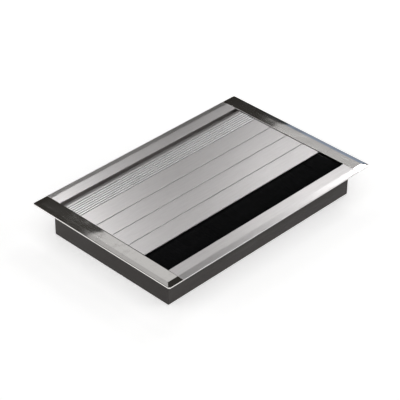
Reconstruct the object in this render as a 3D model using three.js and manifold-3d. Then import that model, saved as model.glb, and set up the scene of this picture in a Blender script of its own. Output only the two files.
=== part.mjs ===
// A rectangular desk grommet with a flip-up lid: two aluminium rails and two cast end caps form the frame,
// a dark cable well hangs below it, and a ribbed aluminium lid with a brush strip turns on two pins at the rear.
// Millimetres. +X runs along the rails, +Y points to the hinge side, +Z is up.
// The origin is the middle of the well's bottom edge.
import * as THREE from "three";
import { mergeVertices } from "three/addons/utils/BufferGeometryUtils.js";
import Module from "manifold-3d";

const wasm = await Module();
wasm.setup();

// Driving dimensions. "Half" values are measured from the middle plane.
const HALF_LENGTH = 120.7;
const HALF_DEPTH = 80;
const HEIGHT = 31;
const OPENING_HALF_X = 105.5;
const OPENING_HALF_Y = 63.6;
const FIT = 0.3; // between pieces that touch in the real object
const PAST = 1; // how far a cutter runs past the face that it opens
const ROUND_SEGMENTS = 28;

// The flange that lies on the desk: a flat top, a shallow bevel and a thin lip.
const BEVEL_RAIL = 5.8;
const BEVEL_CAP = 4.4;
const BEVEL_DROP = 0.6;
const LIP = 1.1;
const LIP_TOP = HEIGHT - BEVEL_DROP;
const SEAT = LIP_TOP - LIP; // the underside that rests on the desk
const CORNER_RADIUS = 1.8;
const RIDGE_CORNER_RADIUS = CORNER_RADIUS * 0.6; // where the bevel meets the flat top

// The cable well.
const WALL = 1.5;
const LEG = 1.6; // thickness of the rails' and end caps' downward legs
const CAP_LEG = { short: 0.2, skin: 0.9 }; // its gap to the rails' outer faces, and the metal above it
const WELL_HALF_X = OPENING_HALF_X + LEG + FIT + WALL;
const WELL_HALF_Y = OPENING_HALF_Y + LEG + FIT + WALL;
const WELL_TOP = SEAT - 0.2;
const WELL_GROOVE = { depth: 0.5, side: 0.3 }; // clearance around the well's top edge
const LEDGE = { inner: 57.6, bottom: 11.9, top: 14.2 };
const GUSSET = { thickness: 1.5, height: 8, overlap: 0.5, xs: [-100, -37.5, 37.5, 100] };

// The screw channel along each rail's foot, open at the bottom.
const CHANNEL = { y: 61.7, z: 17.6, radius: 1.7, inner: 58.2, bottom: 14.5, top: 20.5 };
const BRISTLE_SHELF = { inner: 59.6, top: 25.2, thickness: 1.2 };

// The hinge.
const HINGE = { y: 56.2, z: 25.7 };
const BARREL_RADIUS = 4.8;
const BARREL_BORE = 3.15;
const PIN_RADIUS = 1.5;
const PIN_CHAMFER = 0.4;
const PIN_BORE = 1.58;
const PIN_INNER_X = 93.5;
const BOSS = { radius: 2.8, innerX: 102.1 };
const BUSH = { radius: 3.0, fromX: 93, toX: 101.8 };

// The lid.
const LID_HALF_X = OPENING_HALF_X - 0.8;
const LID_TOP = HINGE.z + BARREL_RADIUS;
const LID_PLATE = 2.2;
const LID_FRONT = -36;
const LID_UNDERSIDE = LID_TOP - LID_PLATE;
const RIB = { first: 39.4, pitch: 2.55, count: 7, width: 1.0, depth: 0.6 };
const PLANK = { pitch: 18.85, count: 3, width: 0.5, depth: 0.5 };
const STIFFENER = { width: 1.6, height: 2, ys: [22, -4] };
const BRUSH_SLOT = { back: -28.3, wall: 1.8, bottom: 25.7, top: 29.5, lip: 1.2 };

// The brush.
const BRUSH_HALF_X = LID_HALF_X - 0.3;
const BACKING = { front: -35.2, back: -28.6, bottom: 25.9, top: 29.3, jaw: 0.6, heel: 0.8 };
const BRISTLE = { tip: -63.2, bottom: 25.5, top: 29.6, fan: -41 };
const ROOT_GAP = { side: 0.1, heel: 0.2 }; // around the bristles' roots in the backing

// The lid's rests on the end caps.
const REST = { innerX: 99.5, front: -24, back: -14, bottom: 22.4, top: 25.4 };
const BUFFER = { radius: 2.7, stem: 1.5, hole: 1.8, top: LID_UNDERSIDE - 0.2, chamfer: 0.5 };
const BUFFER_X = (REST.innerX + OPENING_HALF_X) / 2;
const BUFFER_Y = (REST.front + REST.back) / 2;

// Screws: a shank radius and length under the head, a head radius and height.
const CAP_SCREW = { shank: 1.5, length: 12, head: 2.9, headHeight: 1.3, recess: 0.8 };
const WELL_SCREW = { shank: 1.5, length: 6.6, head: 2.8, headHeight: 2, recess: 1.1 };
const BRUSH_SCREW = { shank: 1.1, length: 1.4, head: 2.2, headHeight: 1.5, recess: 0.8 };
const SCREW_FORM = { crown: 0.8, shoulder: 0.45, point: 0.3, slotArm: 0.55 }; // shares of a screw's sizes
const CAP_SINK = { flush: 0.05, clearance: 0.2, depth: 4 };
const BRUSH_HOLE = { clearance: 0.2, up: 0.5, down: 2 };
const HEAD_GAP = 0.1; // between a screw's head and the face above it
const WELL_SCREW_XS = [-75, 0, 75];
const BRUSH_SCREW_XS = [-84, -28, 28, 84];
const BRUSH_SCREW_Y = -32;
const RECESS_SLOT = 0.7;

const AXIS_X = new THREE.Vector3(1, 0, 0);
const AXIS_Y = new THREE.Vector3(0, 1, 0);
const AXIS_Z = new THREE.Vector3(0, 0, 1);
const INWARD = new THREE.Vector3(-1, 0, 0); // from the right end to the middle

const COLOURS = {
  aluminium: { color: 0xc9c6c3, roughness: 0.35, metalness: 1 },
  chrome: { color: 0xd8d8da, roughness: 0.06, metalness: 1 },
  well: { color: 0x47423e, roughness: 0.6, metalness: 0 },
  bristle: { color: 0x0d0e10, roughness: 0.8, metalness: 0 },
  steel: { color: 0xb4b4b2, roughness: 0.3, metalness: 1 },
  nylon: { color: 0x1a1a1a, roughness: 0.5, metalness: 0 },
  rubber: { color: 0x141414, roughness: 0.9, metalness: 0 },
};
const MATERIALS = Object.fromEntries(
  Object.entries(COLOURS).map(([name, look]) => [name, new THREE.MeshStandardMaterial(look)]),
);

// Solids and meshes ---------------------------------------------------------------------------------------

function toSolid(geometry) {
  const bare = geometry.index ? geometry.toNonIndexed() : geometry.clone();
  bare.deleteAttribute("normal");
  bare.deleteAttribute("uv");
  const merged = mergeVertices(bare, 1e-4);
  return new wasm.Manifold(
    new wasm.Mesh({
      numProp: 3,
      vertProperties: merged.attributes.position.array,
      triVerts: new Uint32Array(merged.index.array),
    }),
  );
}

function toMesh(name, solid, material) {
  const made = solid.getMesh();
  const geometry = new THREE.BufferGeometry();
  geometry.setAttribute("position", new THREE.BufferAttribute(made.vertProperties, 3));
  geometry.setIndex(new THREE.BufferAttribute(made.triVerts, 1));
  geometry.computeVertexNormals();
  const mesh = new THREE.Mesh(geometry, MATERIALS[material]);
  mesh.name = name;
  return mesh;
}

function box(x0, x1, y0, y1, z0, z1) {
  const geometry = new THREE.BoxGeometry(x1 - x0, y1 - y0, z1 - z0);
  geometry.translate((x0 + x1) / 2, (y0 + y1) / 2, (z0 + z1) / 2);
  return toSolid(geometry);
}

// A closed outline in the Y-Z plane from [y, z] points, mirrored in Y when "side" is -1.
function section(points, side = 1) {
  return new THREE.Shape(points.map(([y, z]) => new THREE.Vector2(side * y, z)));
}

// An outline in the Y-Z plane, carried along X.
function alongX(shape, x0, x1) {
  const geometry = new THREE.ExtrudeGeometry(shape, {
    depth: x1 - x0,
    bevelEnabled: false,
    curveSegments: ROUND_SEGMENTS,
  });
  const axes = new THREE.Matrix4().makeBasis(AXIS_Y, AXIS_Z, AXIS_X);
  geometry.applyMatrix4(axes.setPosition(x0, 0, 0));
  return toSolid(geometry);
}

// A profile of [radius, height] points turned about an axis through the given point.
// It starts and ends on the axis, or closes on itself, and its heights rise along the outside.
function turned(profile, axis, at) {
  const points = profile.map(([radius, height]) => new THREE.Vector2(radius, height));
  const geometry = new THREE.LatheGeometry(points, ROUND_SEGMENTS);
  const turn = new THREE.Quaternion().setFromUnitVectors(AXIS_Y, axis);
  geometry.applyQuaternion(turn);
  geometry.translate(at.x, at.y, at.z);
  return toSolid(geometry);
}

function cylinderX(y, z, radius, x0, x1) {
  const profile = [[0, 0], [radius, 0], [radius, x1 - x0], [0, x1 - x0]];
  return turned(profile, AXIS_X, new THREE.Vector3(x0, y, z));
}

function cylinderZ(x, y, radius, z0, z1) {
  const profile = [[0, 0], [radius, 0], [radius, z1 - z0], [0, z1 - z0]];
  return turned(profile, AXIS_Z, new THREE.Vector3(x, y, z0));
}

// Convex rings of points at rising heights, joined by walls and closed at both ends.
function loft(rings) {
  const count = rings[0].length;
  const points = rings.flat();
  const faces = [];
  for (let ring = 0; ring + 1 < rings.length; ring++) {
    for (let i = 0; i < count; i++) {
      const a = ring * count + i;
      const b = ring * count + ((i + 1) % count);
      faces.push(a, b, b + count, a, b + count, a + count);
    }
  }
  const top = (rings.length - 1) * count;
  for (let i = 1; i + 1 < count; i++) {
    faces.push(0, i + 1, i, top, top + i, top + i + 1);
  }
  const geometry = new THREE.BufferGeometry();
  geometry.setAttribute("position", new THREE.Float32BufferAttribute(points.flat(), 3));
  geometry.setIndex(faces);
  return toSolid(geometry);
}

// Fasteners -----------------------------------------------------------------------------------------------

// A cross-recessed screw. The head's outer face is at "at" and the shank runs along "direction".
function screw(size, at, direction, countersunk = false) {
  const tip = size.headHeight + size.length;
  const profile = countersunk
    ? [[0, 0], [size.head, 0], [size.shank, size.headHeight]]
    : [[0, 0], [size.head * SCREW_FORM.crown, 0], [size.head, size.headHeight * SCREW_FORM.shoulder],
       [size.head, size.headHeight], [size.shank, size.headHeight]];
  profile.push([size.shank, tip - size.shank], [size.shank * SCREW_FORM.point, tip], [0, tip]);
  const body = turned(profile, AXIS_Y, new THREE.Vector3());
  const arm = size.head * SCREW_FORM.slotArm;
  const depth = size.recess;
  const slots = box(-arm, arm, -depth, depth, -RECESS_SLOT / 2, RECESS_SLOT / 2)
    .add(box(-RECESS_SLOT / 2, RECESS_SLOT / 2, -depth, depth, -arm, arm));
  const made = toMesh("", body.subtract(slots), "steel").geometry;
  made.applyQuaternion(new THREE.Quaternion().setFromUnitVectors(AXIS_Y, direction));
  made.translate(at.x, at.y, at.z);
  made.deleteAttribute("normal");
  return toSolid(made);
}

// Frame ---------------------------------------------------------------------------------------------------

// A rail's section for the rear, in distances outward from the middle. The front rail is its mirror image
// with a shelf under the bristles' tips.
function railSection(side, shelf) {
  const legOuter = OPENING_HALF_Y + LEG;
  const grooveOuter = WELL_HALF_Y + WELL_GROOVE.side;
  const outline = [
    [OPENING_HALF_Y, HEIGHT],
    [HALF_DEPTH - BEVEL_RAIL, HEIGHT],
    [HALF_DEPTH, LIP_TOP],
    [HALF_DEPTH, SEAT],
    [grooveOuter, SEAT],
    [grooveOuter, SEAT + WELL_GROOVE.depth],
    [legOuter, SEAT + WELL_GROOVE.depth],
    [legOuter, CHANNEL.bottom],
    [CHANNEL.y + CHANNEL.radius, CHANNEL.bottom],
  ];
  for (let i = 0; i <= ROUND_SEGMENTS / 2; i++) {
    const angle = (Math.PI * i) / (ROUND_SEGMENTS / 2);
    const { y, z, radius } = CHANNEL;
    outline.push([y + radius * Math.cos(angle), z + radius * Math.sin(angle)]);
  }
  outline.push(
    [CHANNEL.y - CHANNEL.radius, CHANNEL.bottom],
    [CHANNEL.inner, CHANNEL.bottom],
    [CHANNEL.inner, CHANNEL.top],
    [OPENING_HALF_Y, CHANNEL.top],
  );
  if (shelf) {
    const underside = BRISTLE_SHELF.top - BRISTLE_SHELF.thickness;
    outline.push(
      [OPENING_HALF_Y, underside],
      [BRISTLE_SHELF.inner, underside],
      [BRISTLE_SHELF.inner, BRISTLE_SHELF.top],
      [OPENING_HALF_Y, BRISTLE_SHELF.top],
    );
  }
  return section(outline, side);
}

function rail(side, shelf) {
  const end = OPENING_HALF_X - FIT;
  return alongX(railSection(side, shelf), -end, end);
}

// A rectangle from the opening's end to "outer", with its two outer corners rounded.
function capRing(outer, halfDepth, radius, z) {
  const ring = [[OPENING_HALF_X, -halfDepth, z]];
  const steps = 6;
  for (const side of [-1, 1]) {
    for (let i = 0; i <= steps; i++) {
      const angle = (Math.PI / 2) * (side < 0 ? i / steps - 1 : i / steps);
      ring.push([
        outer - radius + radius * Math.cos(angle),
        side * (halfDepth - radius) + radius * Math.sin(angle),
        z,
      ]);
    }
  }
  ring.push([OPENING_HALF_X, halfDepth, z]);
  return ring;
}

// The right end cap: flange, leg, hinge boss and the lid's rest.
function endCap() {
  const legOuter = OPENING_HALF_X + LEG;
  const legHalfY = OPENING_HALF_Y + LEG - CAP_LEG.short;
  const flange = loft([
    capRing(HALF_LENGTH, HALF_DEPTH, CORNER_RADIUS, SEAT),
    capRing(HALF_LENGTH, HALF_DEPTH, CORNER_RADIUS, LIP_TOP),
    capRing(HALF_LENGTH - BEVEL_CAP, HALF_DEPTH - BEVEL_RAIL, RIDGE_CORNER_RADIUS, HEIGHT),
  ]);
  const groove = box(
    OPENING_HALF_X - PAST, WELL_HALF_X + WELL_GROOVE.side,
    -WELL_HALF_Y - WELL_GROOVE.side, WELL_HALF_Y + WELL_GROOVE.side,
    SEAT - PAST, SEAT + WELL_GROOVE.depth,
  );
  let cap = flange
    .subtract(groove)
    .add(box(OPENING_HALF_X, legOuter, -legHalfY, legHalfY, CHANNEL.bottom, HEIGHT - CAP_LEG.skin))
    .add(cylinderX(HINGE.y, HINGE.z, BOSS.radius, BOSS.innerX, OPENING_HALF_X + LEG / 2))
    .add(box(REST.innerX, OPENING_HALF_X + LEG / 2, REST.front, REST.back, REST.bottom, REST.top))
    .subtract(cylinderX(HINGE.y, HINGE.z, PIN_BORE, BOSS.innerX - PAST, legOuter + PAST))
    .subtract(cylinderZ(BUFFER_X, BUFFER_Y, BUFFER.hole, REST.bottom - PAST, REST.top + PAST));
  for (const side of [-1, 1]) {
    const profile = [
      [0, 0], [CAP_SCREW.head + FIT, 0], [CHANNEL.radius, CAP_SCREW.headHeight + CAP_SINK.clearance],
      [CHANNEL.radius, CAP_SINK.depth], [0, CAP_SINK.depth],
    ];
    const at = new THREE.Vector3(legOuter + CAP_SINK.flush, side * CHANNEL.y, CHANNEL.z);
    cap = cap.subtract(turned(profile, INWARD, at));
  }
  return cap;
}

// A rubber disc with a stem pushed into the rest's hole.
function lidBuffer() {
  const { stem, radius, chamfer } = BUFFER;
  const discBottom = REST.top - REST.bottom + FIT;
  const top = BUFFER.top - REST.bottom;
  const profile = [
    [0, 0], [stem, 0], [stem, discBottom], [radius, discBottom],
    [radius, top - chamfer], [radius - chamfer, top], [0, top],
  ];
  return turned(profile, AXIS_Z, new THREE.Vector3(BUFFER_X, BUFFER_Y, REST.bottom));
}

function hingePin() {
  const length = OPENING_HALF_X + LEG - FIT - PIN_INNER_X;
  const profile = [
    [0, 0], [PIN_RADIUS - PIN_CHAMFER, 0], [PIN_RADIUS, PIN_CHAMFER], [PIN_RADIUS, length - PIN_CHAMFER],
    [PIN_RADIUS - PIN_CHAMFER, length], [0, length],
  ];
  return turned(profile, AXIS_X, new THREE.Vector3(PIN_INNER_X, HINGE.y, HINGE.z));
}

function capScrew(side) {
  const at = new THREE.Vector3(OPENING_HALF_X + LEG - CAP_SINK.flush, side * CHANNEL.y, CHANNEL.z);
  return screw(CAP_SCREW, at, INWARD, true);
}

// Cable well ----------------------------------------------------------------------------------------------

function gusset(x, side) {
  const wall = WELL_HALF_Y - WALL / 2;
  const outline = [
    [LEDGE.inner + GUSSET.overlap, LEDGE.bottom + GUSSET.overlap],
    [wall, LEDGE.bottom + GUSSET.overlap],
    [wall, LEDGE.bottom - GUSSET.height],
  ];
  return alongX(section(outline, side), x - GUSSET.thickness / 2, x + GUSSET.thickness / 2);
}

function cableWell() {
  const innerX = WELL_HALF_X - WALL;
  const innerY = WELL_HALF_Y - WALL;
  let well = box(-WELL_HALF_X, WELL_HALF_X, -WELL_HALF_Y, WELL_HALF_Y, 0, WELL_TOP)
    .subtract(box(-innerX, innerX, -innerY, innerY, -PAST, WELL_TOP + PAST));
  for (const side of [-1, 1]) {
    const [y0, y1] = side > 0 ? [LEDGE.inner, innerY + WALL / 2] : [-innerY - WALL / 2, -LEDGE.inner];
    well = well.add(box(-innerX - WALL / 2, innerX + WALL / 2, y0, y1, LEDGE.bottom, LEDGE.top));
    for (const x of GUSSET.xs) well = well.add(gusset(x, side));
    for (const x of WELL_SCREW_XS) {
      const hole = cylinderZ(x, side * CHANNEL.y, CHANNEL.radius, LEDGE.bottom - PAST, LEDGE.top + PAST);
      well = well.subtract(hole);
    }
  }
  return well;
}

function wellScrew(x, side) {
  const headBottom = LEDGE.bottom - HEAD_GAP - WELL_SCREW.headHeight;
  return screw(WELL_SCREW, new THREE.Vector3(x, side * CHANNEL.y, headBottom), AXIS_Z);
}

// Lid -----------------------------------------------------------------------------------------------------

// Three points of a V groove in the lid's top, centred at y, for a path that runs towards +Y.
function groove(y, width, depth) {
  return [[y - width / 2, LID_TOP], [y, LID_TOP - depth], [y + width / 2, LID_TOP]];
}

function lidSection() {
  const slotBottom = BRUSH_SLOT.bottom - BRUSH_SLOT.lip;
  const slotHeel = BRUSH_SLOT.back + BRUSH_SLOT.wall;
  const outline = [[LID_FRONT, LID_TOP]];
  for (let i = PLANK.count; i > 0; i--) {
    outline.push(...groove(RIB.first - i * PLANK.pitch, PLANK.width, PLANK.depth));
  }
  for (let i = 0; i < RIB.count; i++) {
    outline.push(...groove(RIB.first + i * RIB.pitch, RIB.width, RIB.depth));
  }
  // The barrel: from its top, round the rear and underneath, up to the plate's underside.
  const meet = Math.asin((LID_UNDERSIDE - HINGE.z) / BARREL_RADIUS);
  const from = Math.PI / 2;
  const to = -Math.PI - meet;
  for (let i = 0; i <= ROUND_SEGMENTS; i++) {
    const angle = from + ((to - from) * i) / ROUND_SEGMENTS;
    outline.push([HINGE.y + BARREL_RADIUS * Math.cos(angle), HINGE.z + BARREL_RADIUS * Math.sin(angle)]);
  }
  for (const y of STIFFENER.ys) {
    const low = LID_UNDERSIDE - STIFFENER.height;
    const half = STIFFENER.width / 2;
    outline.push([y + half, LID_UNDERSIDE], [y + half, low], [y - half, low], [y - half, LID_UNDERSIDE]);
  }
  outline.push(
    [slotHeel, LID_UNDERSIDE],
    [slotHeel, slotBottom],
    [LID_FRONT, slotBottom],
    [LID_FRONT, BRUSH_SLOT.bottom],
    [BRUSH_SLOT.back, BRUSH_SLOT.bottom],
    [BRUSH_SLOT.back, BRUSH_SLOT.top],
    [LID_FRONT, BRUSH_SLOT.top],
  );
  const shape = section(outline);
  shape.holes.push(new THREE.Path().absarc(HINGE.y, HINGE.z, BARREL_BORE, 0, 2 * Math.PI, false));
  return shape;
}

function lidPanel() {
  let lid = alongX(lidSection(), -LID_HALF_X, LID_HALF_X);
  for (const x of BRUSH_SCREW_XS) {
    const radius = BRUSH_SCREW.shank + BRUSH_HOLE.clearance;
    const bottom = BRUSH_SLOT.bottom - BRUSH_HOLE.down;
    lid = lid.subtract(cylinderZ(x, BRUSH_SCREW_Y, radius, bottom, BRUSH_SLOT.bottom + BRUSH_HOLE.up));
  }
  return lid;
}

function hingeBush() {
  const profile = [[PIN_BORE, 0], [BUSH.radius, 0], [BUSH.radius, BUSH.toX - BUSH.fromX],
    [PIN_BORE, BUSH.toX - BUSH.fromX], [PIN_BORE, 0]];
  return turned(profile, AXIS_X, new THREE.Vector3(BUSH.fromX, HINGE.y, HINGE.z));
}

// A crimped channel, open to the front, that holds the bristles' roots.
function brushBacking() {
  const outline = [
    [BACKING.front, BACKING.bottom],
    [BACKING.back, BACKING.bottom],
    [BACKING.back, BACKING.top],
    [BACKING.front, BACKING.top],
    [BACKING.front, BACKING.top - BACKING.jaw],
    [BACKING.back - BACKING.heel, BACKING.top - BACKING.jaw],
    [BACKING.back - BACKING.heel, BACKING.bottom + BACKING.jaw],
    [BACKING.front, BACKING.bottom + BACKING.jaw],
  ];
  return alongX(section(outline), -BRUSH_HALF_X, BRUSH_HALF_X);
}

// The bristles as one soft block: thin at the crimp, then fanned out to their full thickness.
function brushBristles() {
  const rootBottom = BACKING.bottom + BACKING.jaw + ROOT_GAP.side;
  const rootTop = BACKING.top - BACKING.jaw - ROOT_GAP.side;
  const root = BACKING.back - BACKING.heel - ROOT_GAP.heel;
  const outline = [
    [root, rootBottom],
    [root, rootTop],
    [LID_FRONT, rootTop],
    [BRISTLE.fan, BRISTLE.top],
    [BRISTLE.tip, BRISTLE.top],
    [BRISTLE.tip, BRISTLE.bottom],
    [BRISTLE.fan, BRISTLE.bottom],
    [LID_FRONT, rootBottom],
  ];
  return alongX(section(outline), -BRUSH_HALF_X, BRUSH_HALF_X);
}

function brushScrew(x) {
  const headBottom = BRUSH_SLOT.bottom - BRUSH_SLOT.lip - HEAD_GAP - BRUSH_SCREW.headHeight;
  return screw(BRUSH_SCREW, new THREE.Vector3(x, BRUSH_SCREW_Y, headBottom), AXIS_Z);
}

// Assembly ------------------------------------------------------------------------------------------------

const mirrorX = (solid) => solid.mirror([1, 0, 0]);
const ENDS = [["left", mirrorX], ["right", (solid) => solid]];
const SIDES = [["front", -1], ["rear", 1]];

const grommet = new THREE.Group();
const frame = new THREE.Group();
const lid = new THREE.Group();
grommet.add(frame, lid);

frame.add(toMesh("front_rail", rail(-1, true), "aluminium"));
frame.add(toMesh("rear_rail", rail(1, false), "aluminium"));
frame.add(toMesh("cable_well", cableWell(), "well"));
for (const [end, place] of ENDS) {
  frame.add(toMesh(`${end}_end_cap`, place(endCap()), "chrome"));
  frame.add(toMesh(`hinge_pin_${end}`, place(hingePin()), "steel"));
  frame.add(toMesh(`lid_buffer_${end}`, place(lidBuffer()), "rubber"));
  lid.add(toMesh(`hinge_bush_${end}`, place(hingeBush()), "nylon"));
  for (const [side, sign] of SIDES) {
    frame.add(toMesh(`end_cap_screw_${end}_${side}`, place(capScrew(sign)), "steel"));
  }
}
for (const [side, sign] of SIDES) {
  WELL_SCREW_XS.forEach((x, i) => {
    frame.add(toMesh(`well_screw_${side}_${i + 1}`, wellScrew(x, sign), "steel"));
  });
}
lid.add(toMesh("lid_panel", lidPanel(), "aluminium"));
lid.add(toMesh("brush_backing", brushBacking(), "steel"));
lid.add(toMesh("brush_bristles", brushBristles(), "bristle"));
BRUSH_SCREW_XS.forEach((x, i) => lid.add(toMesh(`brush_screw_${i + 1}`, brushScrew(x), "steel")));

export default grommet;
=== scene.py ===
"""A desk grommet with a flip-up lid: rails, end caps, a lid with a brush, and the cable well under them.

Lengths in the classes are millimetres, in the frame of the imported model: +X along the rails, +Y towards the
hinge, +Z up, with the well's foot at zero. Meshes are written in metres.
"""

import logging
import math
from collections.abc import Sequence
from dataclasses import dataclass, field
from enum import Enum

import bmesh
import bpy
import numpy as np
from mathutils import Matrix, Vector
from mathutils.geometry import tessellate_polygon


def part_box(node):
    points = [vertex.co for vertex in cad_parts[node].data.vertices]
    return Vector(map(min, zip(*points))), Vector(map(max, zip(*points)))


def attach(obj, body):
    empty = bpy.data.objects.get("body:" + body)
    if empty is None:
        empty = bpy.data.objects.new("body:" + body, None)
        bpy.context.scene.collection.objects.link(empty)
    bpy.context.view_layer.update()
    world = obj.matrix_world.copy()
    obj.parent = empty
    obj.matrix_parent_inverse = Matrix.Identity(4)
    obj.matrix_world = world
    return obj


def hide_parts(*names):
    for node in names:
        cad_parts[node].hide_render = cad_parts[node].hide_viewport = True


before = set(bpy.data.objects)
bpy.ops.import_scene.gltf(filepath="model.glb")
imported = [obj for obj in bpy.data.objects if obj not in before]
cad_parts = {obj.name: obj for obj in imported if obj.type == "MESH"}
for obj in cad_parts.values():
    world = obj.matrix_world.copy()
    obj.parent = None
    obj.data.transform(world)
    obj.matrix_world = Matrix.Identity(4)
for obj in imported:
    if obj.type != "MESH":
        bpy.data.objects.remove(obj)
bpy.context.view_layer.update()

log = logging.getLogger("grommet")

MM = 0.001
Array = np.ndarray
Pair = tuple[float, float]
Triple = tuple[float, float, float]
Colour = Triple
Corner = Triple  # its two places and its radius

# Shared sizes of the frame, in millimetres.
OPENING = (105.5, 63.6)  # half its length and half its depth
LIP_TOP = 30.4
SEAT = 29.3  # the underside that rests on the desk
LEG = 1.6
HINGE = (56.2, 25.7)  # the pins' Y and Z

# Radii of small edges, in millimetres.
CRISP = 0.1
BROKEN = 0.2
SOFT = 0.3

CREASE = math.radians(35.0)  # a CAD node's edges that turn by more than this are real edges
WELD = 1e-6  # metres, for a CAD node's triangles
MERGE = 1e-8  # metres, for a new mesh

# Places of the sockets of a colour Mix node.
MIX_FACTOR, MIX_FIRST, MIX_SECOND, MIX_RESULT = 0, 6, 7, 2


class Body(Enum):
    """The rigid bodies that pieces ride on."""

    FRAME = "frame"
    LID = "lid"


class Slot(Enum):
    """Names of material slots for the new pieces. The script does not use them."""

    ALUMINIUM = "satin_aluminium"
    CHROME = "polished_chrome"
    BRISTLE = "bristle_nylon"


class Axis(Enum):
    """The direction that an outline is carried along, and so the plane that it is drawn in."""

    X = (1, 2, 0)
    Z = (0, 1, 2)


def reach(node: str, axis: int) -> float:
    """The highest place of a CAD node along an axis, in millimetres."""
    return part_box(node)[1][axis] / MM


# Shader nodes ---------------------------------------------------------------------------------------------


class Wire:
    """An output socket that can be used in arithmetic. Each operator adds one Math node."""

    def __init__(self, tree: "Tree", socket: bpy.types.NodeSocket | None) -> None:
        """Keeps the socket and the tree that it belongs to."""
        self.tree = tree
        self.socket = socket

    def maths(self, operation: str, left: "Value", right: "Value") -> "Wire":
        """Adds a Math node.

        Args:
            operation: The Math node's operation.
            left: Its first value.
            right: Its second value.

        Returns:
            The node's result.
        """
        return self.tree.node("ShaderNodeMath", {"operation": operation}, {0: left, 1: right})

    def __add__(self, other: "Value") -> "Wire":
        """self + other."""
        return self.maths("ADD", self, other)

    def __radd__(self, other: "Value") -> "Wire":
        """other + self."""
        return self.maths("ADD", other, self)

    def __sub__(self, other: "Value") -> "Wire":
        """self - other."""
        return self.maths("SUBTRACT", self, other)

    def __rsub__(self, other: "Value") -> "Wire":
        """other - self."""
        return self.maths("SUBTRACT", other, self)

    def __mul__(self, other: "Value") -> "Wire":
        """self * other."""
        return self.maths("MULTIPLY", self, other)


Value = Wire | float | tuple[float, ...]


class Tree:
    """A node tree and the methods that add nodes to it."""

    def __init__(self, name: str) -> None:
        """Makes an empty material.

        Args:
            name: The material's name.
        """
        self.material = bpy.data.materials.new(name)
        self.material.use_nodes = True
        self.nodes = self.material.node_tree.nodes
        self.links = self.material.node_tree.links
        self.nodes.clear()

    def node(
        self,
        kind: str,
        settings: dict[str, object] | None = None,
        inputs: dict[str | int, Value] | None = None,
        output: str | int = 0,
    ) -> Wire:
        """Adds any node.

        Args:
            kind: The node's type, such as ShaderNodeTexNoise.
            settings: Its properties, set before its sockets.
            inputs: A value or a wire for each input socket that isn't left at its default.
            output: The output socket to return.

        Returns:
            A wire from that output, or an empty wire where the node has no outputs.
        """
        made = self.nodes.new(kind)
        for key, value in (settings or {}).items():
            setattr(made, key, value)
        for key, value in (inputs or {}).items():
            if isinstance(value, Wire):
                self.links.new(value.socket, made.inputs[key])
            else:
                made.inputs[key].default_value = value
        return Wire(self, made.outputs[output] if made.outputs else None)

    def place(self) -> Wire:
        """The shaded point in the piece's own coordinates, in metres."""
        return self.node("ShaderNodeTexCoord", output="Object")

    def stretched(self, scale: Triple) -> Wire:
        """The shaded point, multiplied along each axis.

        Args:
            scale: The factor along X, Y and Z, in repeats to the metre.

        Returns:
            The stretched vector.
        """
        inputs = {"Vector": self.place(), "Scale": scale}
        return self.node("ShaderNodeMapping", {"vector_type": "POINT"}, inputs)

    def noise(self, scale: Triple, detail: float = 2.0, roughness: float = 0.5) -> Wire:
        """Smooth noise between 0 and 1.

        Args:
            scale: Repeats to the metre along X, Y and Z.
            detail: How many finer octaves are added.
            roughness: How strong the finer octaves are.

        Returns:
            The noise's value.
        """
        inputs = {"Vector": self.stretched(scale), "Scale": 1.0, "Detail": detail, "Roughness": roughness}
        return self.node("ShaderNodeTexNoise", inputs=inputs)

    def ramp(self, value: Wire, low: float, high: float) -> Wire:
        """0 up to low, 1 from high, and a straight line between, both ends clamped."""
        inputs = {"Value": value, "From Min": low, "From Max": high}
        return self.node("ShaderNodeMapRange", {"clamp": True}, inputs)

    def mix(self, factor: Value, first: Value, second: Value) -> Wire:
        """A colour between two colours."""
        inputs = {MIX_FACTOR: factor, MIX_FIRST: first, MIX_SECOND: second}
        return self.node("ShaderNodeMix", {"data_type": "RGBA"}, inputs, output=MIX_RESULT)

    def mark(self, name: str) -> Wire:
        """A value from 0 to 1 that the mesh holds for each vertex, or 0 where it has none."""
        return self.node("ShaderNodeAttribute", {"attribute_name": name}, output="Fac")

    def bump(self, height: Wire, depth: float, normal: Wire | None = None) -> Wire:
        """A normal bent by a height.

        Args:
            height: The height, from 0 to 1.
            depth: What a height of 1 means, in metres.
            normal: A normal that is already bent, or None.

        Returns:
            The bent normal.
        """
        inputs: dict[str | int, Value] = {"Strength": 1.0, "Distance": depth, "Height": height}
        if normal is not None:
            inputs["Normal"] = normal
        return self.node("ShaderNodeBump", inputs=inputs)

    def finish(self, inputs: dict[str | int, Value]) -> bpy.types.Material:
        """Ends the tree in a Principled shader.

        Args:
            inputs: The shader's sockets.

        Returns:
            The material.
        """
        shader = self.node("ShaderNodeBsdfPrincipled", inputs=inputs)
        self.node("ShaderNodeOutputMaterial", inputs={"Surface": shader})
        return self.material


def opaque(colour: Colour) -> tuple[float, float, float, float]:
    """A colour with an alpha of 1."""
    return (*colour, 1.0)


def even(scale: float) -> Triple:
    """The same number of repeats to the metre along X, Y and Z."""
    return (scale, scale, scale)


# Finishes -------------------------------------------------------------------------------------------------


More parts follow.
